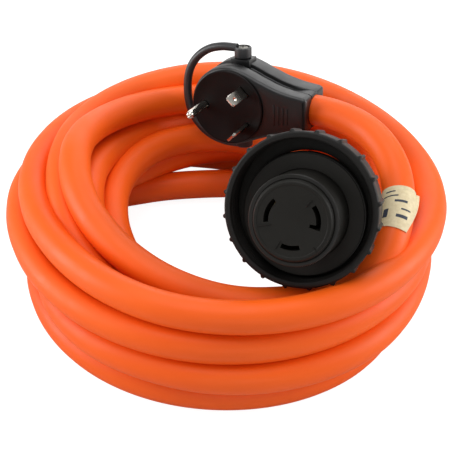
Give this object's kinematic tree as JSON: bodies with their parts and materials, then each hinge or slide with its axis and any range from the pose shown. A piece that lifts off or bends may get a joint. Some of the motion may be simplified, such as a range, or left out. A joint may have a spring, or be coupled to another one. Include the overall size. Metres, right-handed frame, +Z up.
{
  "type": "shore power cord",
  "caption": "Orange shore power cord in a flat coil, with a right-angle plug that has a swinging pull handle and a connector with a loose threaded locking ring.",
  "frame": {"origin": "centre of the coil's underside, on the floor", "axes": "+Z up; -Y toward the viewer, the side the connector faces; +X to the right, the side the label is on"},
  "size_m": [0.252, 0.252, 0.1268],
  "materials": {
    "jacket": "satin orange vinyl jacket",
    "black_vinyl": "fine-grained moulded black",
    "face_nylon": "matt black",
    "nickel": "nickel plated",
    "brass": "plain",
    "copper": "bare stranded copper",
    "rubber": "matt",
    "label": "cream film, blank",
    "wire_black": "satin",
    "wire_white": "satin",
    "wire_green": "satin"
  },
  "bodies": {
    "cord_set": {"blade_hot": "nickel", "blade_neutral": "nickel", "clamp_screw_ground": "nickel", "clamp_screw_hot": "nickel", "clamp_screw_neutral": "nickel", "connector_body": "black_vinyl", "connector_core_ground": "copper", "connector_core_hot": "copper", "connector_core_neutral": "copper", "connector_insert": "face_nylon", "connector_wire_ground": "wire_green", "connector_wire_hot": "wire_black", "connector_wire_neutral": "wire_white", "contact_ground": "brass", "contact_hot": "brass", "contact_neutral": "brass", "cord_coil": "jacket", "cord_label": "label", "cord_lead": "jacket", "cord_tail": "jacket", "flange_gasket": "rubber", "ground_pin": "nickel", "handle_insert_lower": "brass", "handle_insert_upper": "brass", "handle_screw_lower": "nickel", "handle_screw_upper": "nickel", "plug_body": "black_vinyl", "plug_core_ground": "copper", "plug_core_hot": "copper", "plug_core_neutral": "copper", "plug_face": "face_nylon", "plug_wire_ground": "wire_green", "plug_wire_hot": "wire_black", "plug_wire_neutral": "wire_white"},
    "handle": {"pull_handle": "black_vinyl"},
    "seal": {"ring_seal": "rubber"},
    "ring": {"locking_ring": "black_vinyl"}
  },
  "joints": [
    {"name": "handle_swing", "type": "hinge", "parent": "cord_set", "child": "handle", "pos_m": [0.00758, 0.05665, 0.07307], "axis": [-0.0212, 0.2557, 0.9665], "range_deg": [0, 54]},
    {"name": "ring_slide", "type": "slide", "parent": "cord_set", "child": "seal", "axis": [-0.2949, -0.8198, 0.4909], "range_m": [-0.006, 0]},
    {"name": "ring_spin", "type": "hinge", "parent": "seal", "child": "ring", "pos_m": [0.03616, -0.06365, 0.08934], "axis": [-0.2949, -0.8198, 0.4909], "continuous": true}
  ]
}
